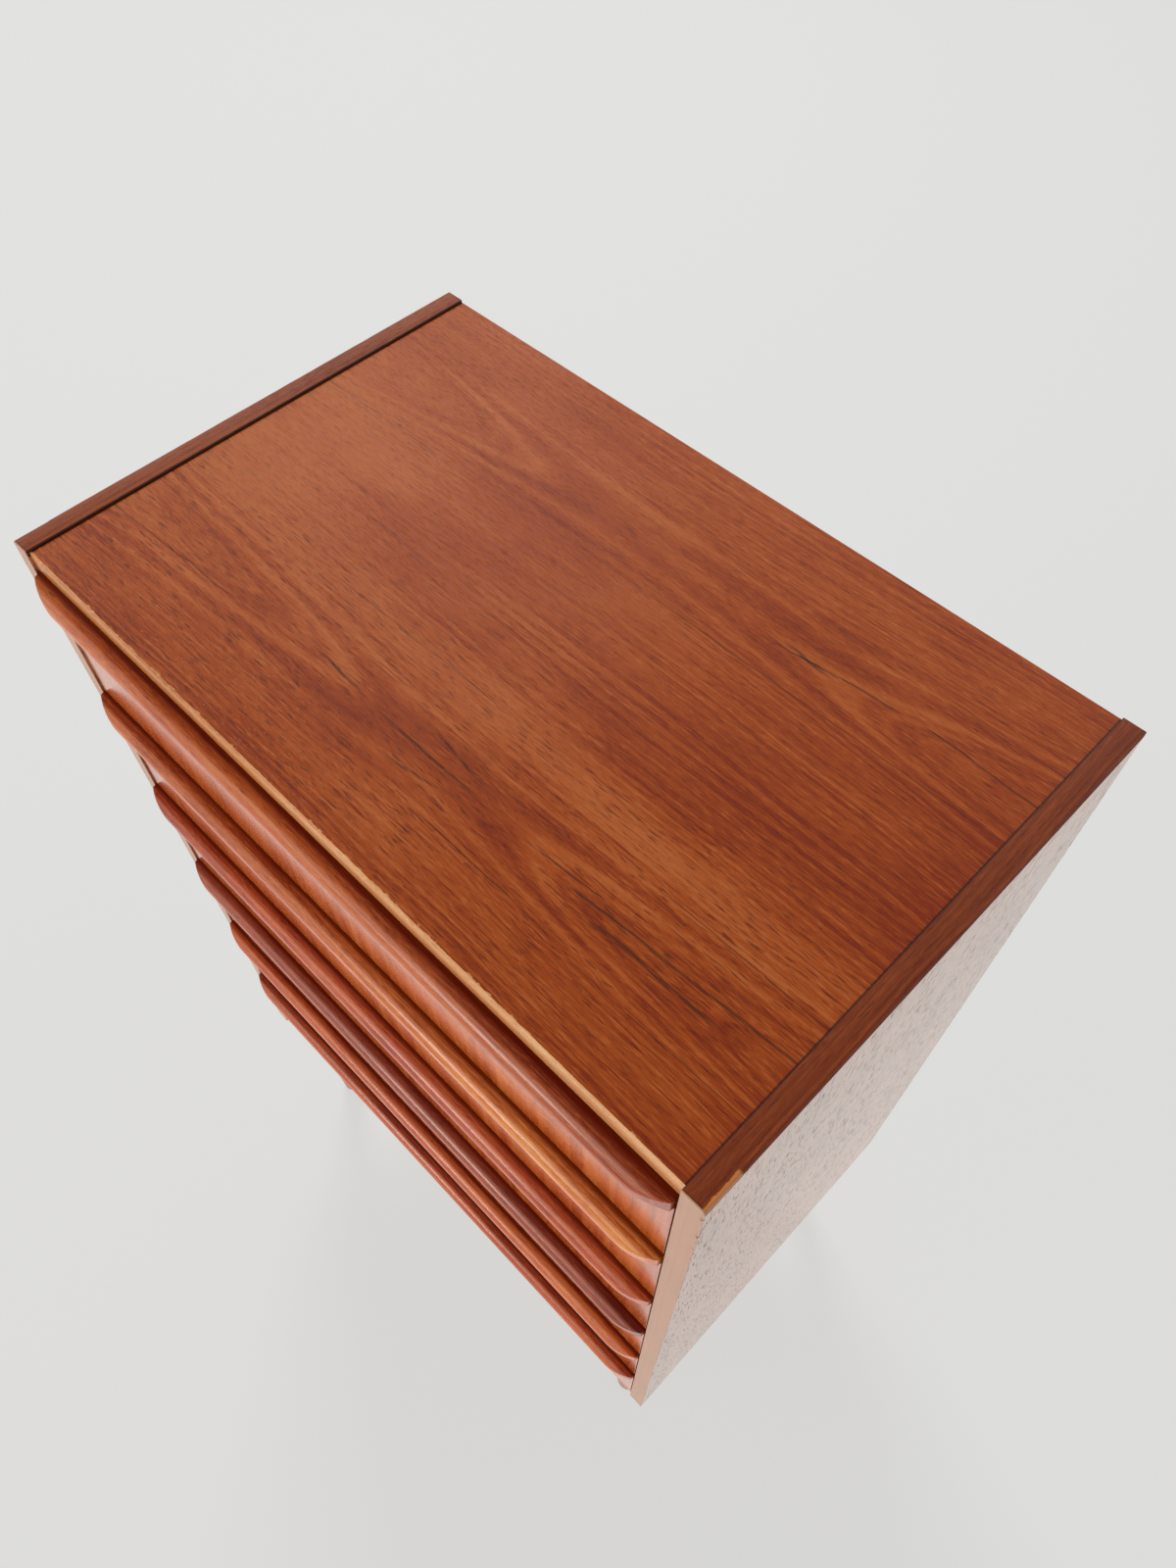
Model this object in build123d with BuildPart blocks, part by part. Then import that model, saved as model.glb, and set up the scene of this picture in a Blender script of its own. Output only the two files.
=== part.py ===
from build123d import *
import os

os.makedirs("parts", exist_ok=True)

# A chest of drawers on four turned legs, in millimetres.
# X runs along its width, the drawers open towards -Y, and Z is up from the floor.

# Driving dimensions of the carcass
carcass_width = 600.0
carcass_depth = 377.0
carcass_height = 775.0
leg_space = 228.0
board_thickness = 15.0
drawer_count = 6

# Driving dimensions of the edges, the gaps and the pulls
side_edging = 0.8
lipping_depth = 1.5
top_strip_height = 5.0
top_step = 2.0
panel_setback = 2.3
face_setback = 1.5
gap = 1.6
pull_reach = 11.0
pull_height = 24.0

# Planes of the carcass; the origin is under the middle of the whole outline
front_plane = (pull_reach - carcass_depth) / 2
back_plane = front_plane + carcass_depth
face_plane = front_plane + face_setback
outer_half = carcass_width / 2
inner_half = outer_half - board_thickness
carcass_low = leg_space
carcass_high = leg_space + carcass_height
top_surface = carcass_high - top_step
opening_high = top_surface - board_thickness
opening_low = carcass_low + board_thickness

# Back panel and the rebates that hold it
back_thickness = 5.0
rebate = 8.0
back_fit = 0.5
rebate_plane = back_plane - back_thickness
rebate_half = inner_half + rebate
rebate_low = opening_low - rebate
rebate_high = opening_high + rebate

# Drawers
pitch = (opening_high - opening_low - gap) / drawer_count
front_height = pitch - gap
front_half = inner_half - gap
front_thickness = 18.0
board_height = front_height - pull_height
drawer_side = 13.0
drawer_depth = 332.0
side_drop = 4.0
side_height = board_height - side_drop
box_half = front_half - drawer_side
dovetail_length = 12.0
tail_count = 3
tail_root = 8.5
tail_tip = 10.5
tongue = 6.0
bottom_thickness = 4.0
bottom_rise = 10.0
bottom_groove = 4.0
drawer_back_thickness = 12.0
drawer_back_inset = 10.0
drawer_back_dado = 3.0
drawer_back_drop = 6.0
shoulder = face_plane + front_thickness
drawer_rear = shoulder + drawer_depth

# Hardwood runners, and the grooves in the drawer sides that hang on them
runner_height = 15.0
runner_thickness = 8.5
runner_front_inset = 40.0
runner_rear_inset = 8.0
runner_front = front_plane + runner_front_inset
runner_rear = rebate_plane - runner_rear_inset
runner_rise = 54.0
groove_height = 16.0
groove_depth = 7.5
stop_gap = 0.5
runner_screw_margin = 20.0

# Legs and what holds them
leg_inset_x = 41.0
leg_inset_y = 34.5
leg_top_radius = 21.7
leg_foot_radius = 13.4
foot_chamfer = 1.2
metal_chamfer = 0.8
glide_height = 3.0
glide_radius = 9.0
glide_chamfer = 0.8
plate_thickness = 2.5
plate_radius = 25.0
plate_screw_circle = 18.0
stud_radius = 4.0
stud_fit = 0.05
stud_in_leg = 36.0
stud_above_plate = 9.0
stud_clearance = 0.75
leg_high = leg_space - plate_thickness

# Dowels between the side panels and the top and bottom panels
dowel_radius = 4.0
dowel_length = 30.0
dowel_in_side = 9.0
dowel_offsets = (75.0, 150.0, 225.0, 300.0)

# Small roundings of the solid wood edges
strip_rounding = 0.6
edging_corner = 2.0
lipping_rounding = 0.5
nose_rounding = 0.8
end_rounding = 2.0

diagonal = 0.5**0.5
corner = (Align.MIN, Align.MIN, Align.MIN)
hands = (("left", -1), ("right", 1))


# A squared board between two opposite corners, for use inside a part's block
def board(low, high, mode=Mode.ADD):
    with Locations(low):
        Box(high[0] - low[0], high[1] - low[1], high[2] - low[2], align=corner, mode=mode)


# The same board on the left (-1) or right (+1) hand, with x counted outwards from the middle
def handed_board(hand, low, high, mode=Mode.ADD):
    x_low = min(hand * low[0], hand * high[0])
    x_high = max(hand * low[0], hand * high[0])
    board((x_low, low[1], low[2]), (x_high, high[1], high[2]), mode)


# Slotted countersunk screw, head flush with Z = 0 and point towards -Z
slot_width = 0.9


def wood_screw(length, shank_radius, head_radius):
    head_depth = head_radius - shank_radius
    with BuildPart() as screw:
        with BuildSketch(Plane.XZ):
            with BuildLine():
                Polyline(
                    (0, 0),
                    (head_radius, 0),
                    (shank_radius, -head_depth),
                    (shank_radius, 2 * shank_radius - length),
                    (0, -length),
                    close=True,
                )
            make_face()
        revolve(axis=Axis.Z)
        Box(3 * head_radius, slot_width, head_depth, mode=Mode.SUBTRACT)
    return screw.part


# Name a finished piece and write its file
def finish(piece, name):
    piece.part.label = name
    export_step(piece.part, f"parts/{name}.step")


# Screws that fix the runners: three in each, driven outwards into the side panels
runner_levels = []
for number in range(drawer_count):
    drawer_low = opening_high - gap - number * pitch - front_height
    runner_levels.append(drawer_low + runner_rise)
runner_middle = (runner_front + runner_rear) / 2
runner_screw_rows = (runner_front + runner_screw_margin, runner_middle, runner_rear - runner_screw_margin)
runner_screw_places = []
for runner_level in runner_levels:
    for screw_y in runner_screw_rows:
        for hand in (-1, 1):
            head_x = hand * (inner_half - runner_thickness)
            runner_screw_places.append(Location((head_x, screw_y, runner_level), (0, -90 * hand, 0)))
with BuildPart() as runner_screws:
    with Locations(*runner_screw_places):
        add(wood_screw(length=20.0, shank_radius=1.75, head_radius=3.5))
finish(runner_screws, "runner_screws")

# Screws around the edge of the back panel
back_screw_places = []
back_screw_margin = rebate / 2
back_middle = (rebate_low + rebate_high) / 2
for screw_step in (-350.0, -175.0, 0.0, 175.0, 350.0):
    screw_z = back_middle + screw_step
    for hand in (-1, 1):
        screw_x = hand * (rebate_half - back_screw_margin)
        back_screw_places.append(Location((screw_x, back_plane, screw_z), (-90, 0, 0)))
for screw_x in (-180.0, 0.0, 180.0):
    for screw_z in (rebate_low + back_screw_margin, rebate_high - back_screw_margin):
        back_screw_places.append(Location((screw_x, back_plane, screw_z), (-90, 0, 0)))
with BuildPart() as back_panel_screws:
    with Locations(*back_screw_places):
        add(wood_screw(length=16.0, shank_radius=1.5, head_radius=3.0))
finish(back_panel_screws, "back_panel_screws")

# Dowels that join the top and bottom panels to the side panels
dowel_places = []
for panel_middle in (opening_high + board_thickness / 2, carcass_low + board_thickness / 2):
    for dowel_offset in dowel_offsets:
        for hand in (-1, 1):
            dowel_x = hand * (inner_half + dowel_in_side - dowel_length / 2)
            dowel_place = (dowel_x, front_plane + dowel_offset, panel_middle)
            dowel_places.append(Location(dowel_place, (0, 90, 0)))
with BuildPart() as carcass_dowels:
    with Locations(*dowel_places):
        Cylinder(dowel_radius, dowel_length)
finish(carcass_dowels, "carcass_dowels")

# Legs stand in from the four corners of the carcass
leg_x = outer_half - leg_inset_x
front_leg_y = front_plane + leg_inset_y
rear_leg_y = back_plane - leg_inset_y
leg_spots = (
    ("front_left", -leg_x, front_leg_y),
    ("front_right", leg_x, front_leg_y),
    ("rear_left", -leg_x, rear_leg_y),
    ("rear_right", leg_x, rear_leg_y),
)
leg_centres = [(x, y) for leg_name, x, y in leg_spots]

# Threaded studs that stand in the legs and pass up through the plates
stud_low = leg_high - stud_in_leg
stud_high = leg_space + stud_above_plate
with BuildPart() as leg_studs:
    with BuildSketch(Plane.XY.offset(stud_low)):
        with Locations(*leg_centres):
            Circle(stud_radius)
    extrude(amount=stud_high - stud_low)
    chamfer(leg_studs.edges().group_by(Axis.Z)[-1], length=metal_chamfer)
finish(leg_studs, "leg_studs")

# Countersunk screws, four to a plate, driven up into the bottom panel
plate_screw_places = []
for leg_centre_x, leg_centre_y in leg_centres:
    for step_x in (-1, 1):
        for step_y in (-1, 1):
            screw_x = leg_centre_x + step_x * plate_screw_circle * diagonal
            screw_y = leg_centre_y + step_y * plate_screw_circle * diagonal
            plate_screw_places.append(Location((screw_x, screw_y, leg_high), (180, 0, 0)))
with BuildPart() as leg_plate_screws:
    with Locations(*plate_screw_places):
        add(wood_screw(length=13.0, shank_radius=1.75, head_radius=3.5))
finish(leg_plate_screws, "leg_plate_screws")

# Round steel plates on the underside of the bottom panel
with BuildPart() as leg_plates:
    with BuildSketch(Plane.XY.offset(leg_high)):
        with Locations(*leg_centres):
            Circle(plate_radius)
            Circle(stud_radius + stud_fit, mode=Mode.SUBTRACT)
    extrude(amount=plate_thickness)
    add(leg_plate_screws.part, mode=Mode.SUBTRACT)
finish(leg_plates, "leg_plates")

# Turned legs with a straight taper, bored at the top for the stud
with BuildPart() as turned_leg:
    with BuildSketch(Plane.XZ):
        with BuildLine():
            Polyline(
                (0, glide_height),
                (leg_foot_radius - foot_chamfer, glide_height),
                (leg_foot_radius, glide_height + foot_chamfer),
                (leg_top_radius, leg_high),
                (0, leg_high),
                close=True,
            )
        make_face()
    revolve(axis=Axis.Z)
    with Locations((0, 0, leg_high)):
        Hole(stud_radius + stud_fit, depth=stud_in_leg)
for leg_name, leg_centre_x, leg_centre_y in leg_spots:
    with BuildPart() as leg:
        with Locations((leg_centre_x, leg_centre_y, 0)):
            add(turned_leg.part)
    finish(leg, f"{leg_name}_leg")

# Glides under the feet
with BuildPart() as leg_glides:
    with BuildSketch():
        with Locations(*leg_centres):
            Circle(glide_radius)
    extrude(amount=glide_height)
    chamfer(leg_glides.edges().group_by(Axis.Z)[0], length=glide_chamfer)
finish(leg_glides, "leg_glides")

# Side panels: veneered boards, rebated for the back and drilled for dowels and screws
side_front = front_plane + side_edging
side_high = carcass_high - top_strip_height
for hand_name, hand in hands:
    with BuildPart() as side_panel:
        handed_board(hand, (inner_half, side_front, carcass_low), (outer_half, back_plane, side_high))
        rebate_corner = (inner_half, rebate_plane, rebate_low)
        handed_board(hand, rebate_corner, (rebate_half, back_plane, rebate_high), Mode.SUBTRACT)
        add(carcass_dowels.part, mode=Mode.SUBTRACT)
        add(runner_screws.part, mode=Mode.SUBTRACT)
        add(back_panel_screws.part, mode=Mode.SUBTRACT)
    finish(side_panel, f"{hand_name}_side_panel")

# Solid strips on top of the side panels, and the thin edging that covers their front ends too
for hand_name, hand in hands:
    with BuildPart() as top_strip:
        strip_low = (inner_half, side_front, side_high)
        handed_board(hand, strip_low, (outer_half, back_plane, carcass_high))
        upper_edges = top_strip.faces().sort_by(Axis.Z)[-1].edges()
        fillet(upper_edges - upper_edges.group_by(Axis.Y)[0], radius=strip_rounding)
    finish(top_strip, f"{hand_name}_side_top_lipping")
    with BuildPart() as front_edging:
        edging_low = (inner_half, front_plane, carcass_low)
        handed_board(hand, edging_low, (outer_half, side_front, carcass_high))
        top_corners = front_edging.edges().filter_by(Axis.Y).group_by(Axis.Z)[-1].sort_by(Axis.X)
        fillet(top_corners[0 if hand < 0 else -1], radius=edging_corner)
    finish(front_edging, f"{hand_name}_side_front_edging")

# Top and bottom panels, rebated for the back, each with a solid lipping along the front edge
panel_face = front_plane + panel_setback
panel_front = panel_face + lipping_depth
with BuildPart() as top_panel:
    board((-inner_half, panel_front, opening_high), (inner_half, back_plane, top_surface))
    board((-inner_half, rebate_plane, opening_high), (inner_half, back_plane, rebate_high), Mode.SUBTRACT)
    add(carcass_dowels.part, mode=Mode.SUBTRACT)
    add(back_panel_screws.part, mode=Mode.SUBTRACT)
finish(top_panel, "top_panel")
with BuildPart() as top_panel_lipping:
    board((-inner_half, panel_face, opening_high), (inner_half, panel_front, top_surface))
    front_edges = top_panel_lipping.faces().sort_by(Axis.Y)[0].edges()
    fillet(front_edges.filter_by(Axis.X), radius=lipping_rounding)
finish(top_panel_lipping, "top_panel_lipping")
with BuildPart() as bottom_panel:
    board((-inner_half, panel_front, carcass_low), (inner_half, back_plane, opening_low))
    board((-inner_half, rebate_plane, rebate_low), (inner_half, back_plane, opening_low), Mode.SUBTRACT)
    add(carcass_dowels.part, mode=Mode.SUBTRACT)
    add(back_panel_screws.part, mode=Mode.SUBTRACT)
    add(leg_plate_screws.part, mode=Mode.SUBTRACT)
    with BuildSketch(Plane.XY.offset(carcass_low)):
        with Locations(*leg_centres):
            Circle(stud_radius + stud_clearance)
    extrude(amount=stud_above_plate + stud_clearance, mode=Mode.SUBTRACT)
finish(bottom_panel, "bottom_panel")
with BuildPart() as bottom_panel_lipping:
    board((-inner_half, panel_face, carcass_low), (inner_half, panel_front, opening_low))
    front_edges = bottom_panel_lipping.faces().sort_by(Axis.Y)[0].edges()
    fillet(front_edges.filter_by(Axis.X), radius=lipping_rounding)
finish(bottom_panel_lipping, "bottom_panel_lipping")

# Thin back panel, let into the rebates all round
with BuildPart() as back_panel:
    back_half = rebate_half - back_fit
    back_low = (-back_half, rebate_plane, rebate_low + back_fit)
    board(back_low, (back_half, back_plane, rebate_high - back_fit))
    add(back_panel_screws.part, mode=Mode.SUBTRACT)
finish(back_panel, "back_panel")

# Runners: one node for each hand, one batten for each drawer
for hand_name, hand in hands:
    with BuildPart() as runners:
        for runner_level in runner_levels:
            runner_low = runner_level - runner_height / 2
            runner_corner = (inner_half - runner_thickness, runner_front, runner_low)
            runner_end = (inner_half, runner_rear, runner_low + runner_height)
            handed_board(hand, runner_corner, runner_end)
        add(runner_screws.part, mode=Mode.SUBTRACT)
    finish(runners, f"{hand_name}_drawer_runners")

# The pull's section: flat on top, rounded over to a nose, hollowed underneath for the fingers.
# Its end view is (y, z) with z counted down from the pull's top.
nose_y = front_plane - pull_reach
nose_drop = 11.3
lip_drop = 13.8
round_start = front_plane + 0.5
round_middle = (front_plane - 7.2, -3.9)
nose_width = 2.0
hollow_front = nose_y + nose_width
hollow_middle_y = hollow_front + diagonal * (face_plane - hollow_front)
hollow_middle_z = diagonal * (pull_height - lip_drop) - pull_height
tongue_middle = face_plane + front_thickness / 2

# In plan the pull's front line curves back towards both ends
end_run = 28.0
end_reach = 2.8
end_y = front_plane - end_reach

for number in range(drawer_count):
    drawer = f"drawer_{number + 1}"
    pull_top = opening_high - gap - number * pitch
    pull_low = pull_top - pull_height
    front_low = pull_top - front_height

    # Shaped pull of solid wood, glued on the front board's upper edge with a tongue
    with BuildPart() as pull:
        with BuildSketch(Plane.YZ.offset(-front_half)):
            with BuildLine():
                Line((shoulder, pull_low), (shoulder, pull_top))
                Line((shoulder, pull_top), (round_start, pull_top))
                round_points = (
                    (round_start, pull_top),
                    (round_middle[0], pull_top + round_middle[1]),
                    (nose_y, pull_top - nose_drop),
                )
                ThreePointArc(*round_points)
                Line((nose_y, pull_top - nose_drop), (nose_y, pull_top - lip_drop))
                Line((nose_y, pull_top - lip_drop), (hollow_front, pull_top - lip_drop))
                hollow_points = (
                    (hollow_front, pull_top - lip_drop),
                    (hollow_middle_y, pull_top + hollow_middle_z),
                    (face_plane, pull_low),
                )
                ThreePointArc(*hollow_points)
                Line((face_plane, pull_low), (shoulder, pull_low))
            make_face()
            with Locations((tongue_middle, pull_low - tongue / 2)):
                Rectangle(tongue, tongue)
        extrude(amount=2 * front_half)
        with BuildSketch(Plane.XY.offset(pull_low - tongue)):
            with BuildLine() as pull_plan:
                Line((0, nose_y), (front_half - end_run, nose_y))
                TangentArc((front_half - end_run, nose_y), (front_half, end_y), tangent=(1, 0))
                Line((front_half, end_y), (front_half, shoulder))
                Line((front_half, shoulder), (0, shoulder))
                mirror(about=Plane.YZ)
            make_face()
        extrude(amount=pull_height + tongue, mode=Mode.INTERSECT)
        end_walls = pull.faces().filter_by(GeomType.CYLINDER).group_by(SortBy.AREA)[0]
        fillet([wall.edges().sort_by(Axis.Z)[-1] for wall in end_walls], radius=end_rounding)
        nose_edges = pull.edges().filter_by(Axis.X).group_by(Axis.Y)[0]
        fillet(nose_edges.sort_by(Axis.Z)[0], radius=nose_rounding)
    finish(pull, f"{drawer}_pull")

    # Sides with dovetails at the front, grooved for the runner, the bottom and the back
    groove_level = front_low + runner_rise - groove_height / 2
    bottom_low = front_low + bottom_rise
    bottom_high = bottom_low + bottom_thickness
    side_top = front_low + side_height
    back_rear = drawer_rear - drawer_back_inset
    back_front = back_rear - drawer_back_thickness
    box_sides = []
    for hand_name, hand in hands:
        with BuildPart() as box_side:
            inner_face = hand * box_half if hand > 0 else -front_half
            with BuildSketch(Plane.YZ.offset(inner_face)):
                outline = [(drawer_rear, front_low), (drawer_rear, side_top), (shoulder, side_top)]
                for tail in range(tail_count):
                    tail_middle = side_top - (tail + 0.5) * side_height / tail_count
                    tail_end = shoulder - dovetail_length
                    outline.append((shoulder, tail_middle + tail_root))
                    outline.append((tail_end, tail_middle + tail_tip))
                    outline.append((tail_end, tail_middle - tail_tip))
                    outline.append((shoulder, tail_middle - tail_root))
                outline.append((shoulder, front_low))
                with BuildLine():
                    Polyline(*outline, close=True)
                make_face()
            extrude(amount=drawer_side)
            runner_slot_low = (front_half - groove_depth, runner_front - stop_gap, groove_level)
            runner_slot_high = (front_half, drawer_rear, groove_level + groove_height)
            handed_board(hand, runner_slot_low, runner_slot_high, Mode.SUBTRACT)
            bottom_slot_low = (box_half, shoulder - dovetail_length, bottom_low)
            bottom_slot_high = (box_half + bottom_groove, drawer_rear, bottom_high)
            handed_board(hand, bottom_slot_low, bottom_slot_high, Mode.SUBTRACT)
            back_slot_low = (box_half, back_front, bottom_high)
            back_slot_high = (box_half + drawer_back_dado, back_rear, side_top)
            handed_board(hand, back_slot_low, back_slot_high, Mode.SUBTRACT)
        finish(box_side, f"{drawer}_{hand_name}_side")
        box_sides.append(box_side.part)

    # Front board, grooved along its top for the pull's tongue and cut out for the dovetails
    with BuildPart() as front:
        board((-front_half, face_plane, front_low), (front_half, shoulder, pull_low))
        tongue_low = (-front_half, tongue_middle - tongue / 2, pull_low - tongue)
        board(tongue_low, (front_half, tongue_middle + tongue / 2, pull_low), Mode.SUBTRACT)
        slot_low = (-box_half, shoulder - bottom_groove, bottom_low)
        board(slot_low, (box_half, shoulder, bottom_high), Mode.SUBTRACT)
        for hand in (-1, 1):
            for tail in range(tail_count):
                tail_middle = side_top - (tail + 0.5) * side_height / tail_count
                with BuildSketch(Plane.YZ.offset(hand * box_half)):
                    with BuildLine():
                        Polyline(
                            (shoulder, tail_middle + tail_root),
                            (shoulder - dovetail_length, tail_middle + tail_tip),
                            (shoulder - dovetail_length, tail_middle - tail_tip),
                            (shoulder, tail_middle - tail_root),
                            close=True,
                        )
                    make_face()
                extrude(amount=hand * drawer_side, mode=Mode.SUBTRACT)
    finish(front, f"{drawer}_front")

    # Back board, housed between the sides over the bottom
    with BuildPart() as back:
        back_half = box_half + drawer_back_dado
        board((-back_half, back_front, bottom_high), (back_half, back_rear, side_top - drawer_back_drop))
    finish(back, f"{drawer}_back")

    # Plywood bottom, slid in from the rear under the back board
    with BuildPart() as bottom:
        bottom_half = box_half + bottom_groove
        bottom_corner = (-box_half, shoulder - bottom_groove, bottom_low)
        board(bottom_corner, (box_half, shoulder, bottom_high))
        board((-bottom_half, shoulder, bottom_low), (bottom_half, back_rear, bottom_high))
    finish(bottom, f"{drawer}_bottom")
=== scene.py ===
import bpy
import bmesh
import math
import random
from mathutils import Matrix, Vector


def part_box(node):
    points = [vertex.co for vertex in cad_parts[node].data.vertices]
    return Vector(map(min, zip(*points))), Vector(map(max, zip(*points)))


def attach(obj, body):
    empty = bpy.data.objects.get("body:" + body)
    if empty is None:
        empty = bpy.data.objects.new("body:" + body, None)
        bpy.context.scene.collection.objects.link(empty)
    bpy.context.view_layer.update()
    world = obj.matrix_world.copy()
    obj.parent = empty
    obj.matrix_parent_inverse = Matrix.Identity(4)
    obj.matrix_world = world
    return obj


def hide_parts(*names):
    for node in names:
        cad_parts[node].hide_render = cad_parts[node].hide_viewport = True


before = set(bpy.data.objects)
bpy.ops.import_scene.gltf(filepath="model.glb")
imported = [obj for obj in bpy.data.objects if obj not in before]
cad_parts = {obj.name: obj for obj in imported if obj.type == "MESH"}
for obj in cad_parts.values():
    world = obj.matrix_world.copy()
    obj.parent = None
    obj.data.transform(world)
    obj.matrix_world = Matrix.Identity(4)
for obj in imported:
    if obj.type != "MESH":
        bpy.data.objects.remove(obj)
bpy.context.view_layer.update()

# Camera: held high above the right front corner, looking down over the top. Its place, turn
# and shift were worked out from the chest's own edges in the photograph.
camera_place = (0.3544, -0.3115, 1.5382)
camera_right = Vector((0.7053571, 0.7087893, -0.0094409))
camera_down = Vector((0.5908254, -0.5952189, -0.5446465))
camera_ahead = Vector((-0.3916590, 0.3785923, -0.8386126))
camera_turn = Matrix((camera_right, -camera_down, -camera_ahead)).transposed().to_4x4()
film_width = 36.0
focal_pixels = 1185.8
photo_height = 1600.0
camera = bpy.data.objects.new("camera", bpy.data.cameras.new("camera"))
bpy.context.scene.collection.objects.link(camera)
camera.matrix_world = Matrix.Translation(camera_place) @ camera_turn
camera.data.sensor_width = film_width
camera.data.lens = film_width * focal_pixels / photo_height
camera.data.shift_x = 0.0076
camera.data.shift_y = 0.0135
camera.data.clip_start = 0.02
bpy.context.scene.camera = camera

# Studio: a plain pale floor that runs on past the picture, in a room that is bright low down,
# most of all straight in front of the chest, and dim overhead. A soft lamp is high behind the
# chest's left, weaker ones are in front, and one lies low, as light that the floor throws up.


class Wire:
    """A number on its way through a tree of nodes, written as an ordinary sum"""

    def __init__(self, owner, socket):
        self.owner = owner
        self.socket = socket

    def sum(self, operation, *terms):
        return self.owner.node("ShaderNodeMath", {"operation": operation}, dict(enumerate(terms)))

    def __add__(self, other):
        return self.sum("ADD", self, other)

    def __radd__(self, other):
        return self.sum("ADD", other, self)

    def __sub__(self, other):
        return self.sum("SUBTRACT", self, other)

    def __rsub__(self, other):
        return self.sum("SUBTRACT", other, self)

    def __mul__(self, other):
        return self.sum("MULTIPLY", self, other)

    def __rmul__(self, other):
        return self.sum("MULTIPLY", other, self)

    def __truediv__(self, other):
        return self.sum("DIVIDE", self, other)

    def __pow__(self, other):
        return self.sum("POWER", self, other)

    def __abs__(self):
        return self.sum("ABSOLUTE", self)


class Nodes:
    """A tree of nodes, and the one way in which nodes are put into it"""

    def __init__(self, tree):
        self.tree = tree

    def join(self, socket, value):
        if isinstance(value, Wire):
            self.tree.links.new(value.socket, socket)
        elif isinstance(value, tuple) and socket.type == "RGBA":
            socket.default_value = (*value, 1.0)
        else:
            socket.default_value = value

    def node(self, kind, settings, sockets, output=0):
        """A new node with these settings and these values or wires at its sockets"""
        made = self.tree.nodes.new(kind)
        for name, value in settings.items():
            if name == "stops":
                stops = made.color_ramp.elements
                stops[0].position = value[0][0]
                stops[1].position = value[-1][0]
                for position, colour in value[1:-1]:
                    stops.new(position)
                for stop, (position, colour) in zip(stops, value):
                    stop.color = (*colour, 1.0)
            else:
                setattr(made, name, value)
        for name, value in sockets.items():
            for one in value if isinstance(value, list) else [value]:
                self.join(made.inputs[name], one)
        return Wire(self, made.outputs[output]) if made.outputs else None

    def mix(self, share, first, second):
        return self.node("ShaderNodeMix", {"data_type": "RGBA"}, {0: share, 6: first, 7: second}, 2)

    def vector(self, x=0.0, y=0.0, z=0.0):
        return self.node("ShaderNodeCombineXYZ", {}, {"X": x, "Y": y, "Z": z})

    def parts(self, vector):
        """The X, Y and Z of a vector"""
        return [self.node("ShaderNodeSeparateXYZ", {}, {"Vector": vector}, axis) for axis in "XYZ"]


world = bpy.data.worlds.new("studio")
world.use_nodes = True
bpy.context.scene.world = world
room = Nodes(world.node_tree)
aim_x, aim_y, aim_z = room.parts(room.node("ShaderNodeTexCoord", {}, {}, "Generated"))
rear_levels = (
    (0.3, (0.78, 0.78, 0.775)),
    (0.62, (0.7, 0.7, 0.7)),
    (0.76, (0.33, 0.33, 0.34)),
    (0.95, (0.18, 0.18, 0.19)),
)
front_levels = (
    (0.18, (1.1, 1.1, 1.09)),
    (0.3, (0.4, 0.4, 0.4)),
    (0.45, (0.06, 0.06, 0.06)),
    (0.95, (0.03, 0.03, 0.03)),
)
window_levels = (
    (0.26, (2.4, 2.4, 2.4)),
    (0.42, (0.8, 0.8, 0.8)),
    (0.56, (0.08, 0.08, 0.08)),
    (0.95, (0.03, 0.03, 0.03)),
)


def sky_of(levels):
    """One side of the room, from its brightness low down to its brightness overhead"""
    return room.node("ShaderNodeValToRGB", {"stops": levels}, {"Fac": aim_z})


def share_of(value, none, whole):
    """How far a value has come from where it counts for nothing to where it counts in full"""
    sockets = {"Value": value, "From Min": none, "From Max": whole}
    return room.node("ShaderNodeMapRange", {}, sockets)


window_share = share_of(abs(aim_x + 0.25), 0.35, 0.15)
front_sky = room.mix(window_share, sky_of(front_levels), sky_of(window_levels))
whole_sky = room.mix(share_of(aim_y, -0.5, 0.1), front_sky, sky_of(rear_levels))
room.join(world.node_tree.nodes["Background"].inputs["Color"], whole_sky)
bpy.context.scene.view_settings.view_transform = "Standard"


def soft_lamp(name, place, target, size, power, in_polish=False):
    """A wide lamp that never shows in the picture, and in the chest's polish only if told to"""
    made = bpy.data.objects.new(name, bpy.data.lights.new(name, "AREA"))
    bpy.context.scene.collection.objects.link(made)
    made.location = place
    made.rotation_euler = (Vector(target) - made.location).to_track_quat("-Z", "Y").to_euler()
    made.data.size = size
    made.data.energy = power
    made.visible_glossy = in_polish
    made.visible_camera = False


soft_lamp("high_lamp", (-3.4, 2.4, 5.0), (0.0, 0.0, 0.8), 2.0, 281.0)
soft_lamp("front_lamp", (-1.2, -2.6, 4.2), (0.0, 0.0, 0.7), 2.5, 34.0)
soft_lamp("floor_bounce", (0.6, -1.8, 0.004), (0.6, -1.8, 1.0), 5.0, 104.0)
soft_lamp("low_window", (-1.6, -5.6, 0.6), (-1.6, 0.0, 0.6), 1.2, 34.0, in_polish=True)

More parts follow.
